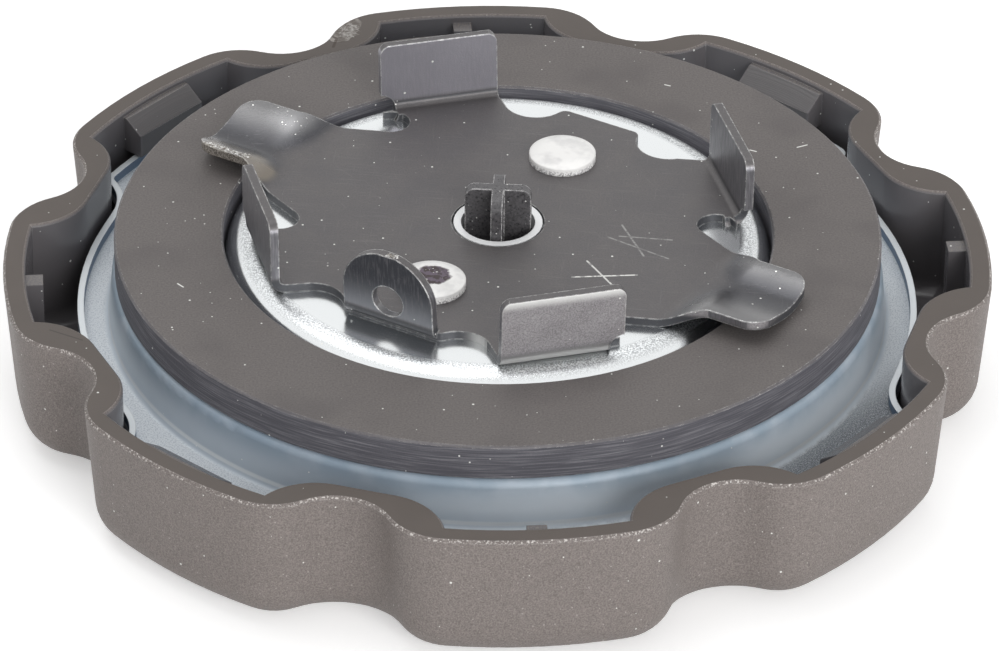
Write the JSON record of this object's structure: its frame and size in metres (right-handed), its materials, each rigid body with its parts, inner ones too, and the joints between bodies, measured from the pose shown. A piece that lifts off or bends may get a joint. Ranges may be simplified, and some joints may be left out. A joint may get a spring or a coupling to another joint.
{
  "type": "fuel filler cap",
  "caption": "Bayonet fuel filler cap of a small engine, tank side up: lobed plastic grip cover, pressed shell, flat gasket, sprung claw plate and loose vent pin.",
  "frame": {"origin": "centre of the cover's outer face, on the axis of the cap", "axes": "+Z along the cap's axis from the outer face to the tank side; +X through the middle of a lobe that carries a rib"},
  "size_m": [0.076, 0.076, 0.0205],
  "materials": {
    "cover_plastic": "moulded, fine grain, rim rubbed smooth",
    "plated_steel": "bright zinc plate",
    "seal_rubber": "matt nitrile rubber",
    "spring_steel": "dark plated sheet with bright edges",
    "rivet_metal": "bright plated",
    "pin_plastic": "dark moulded plastic"
  },
  "bodies": {
    "cap": {"grip_cover": "cover_plastic", "cap_shell": "plated_steel", "gasket": "seal_rubber", "claw_plate": "spring_steel", "rivet_back": "rivet_metal", "rivet_front": "rivet_metal"},
    "vent_pin": {"vent_pin": "pin_plastic"}
  },
  "joints": [
    {"name": "vent_pin_slide", "type": "slide", "parent": "cap", "child": "vent_pin", "axis": [0, 0, 1], "range_m": [0, 0.0015]}
  ]
}
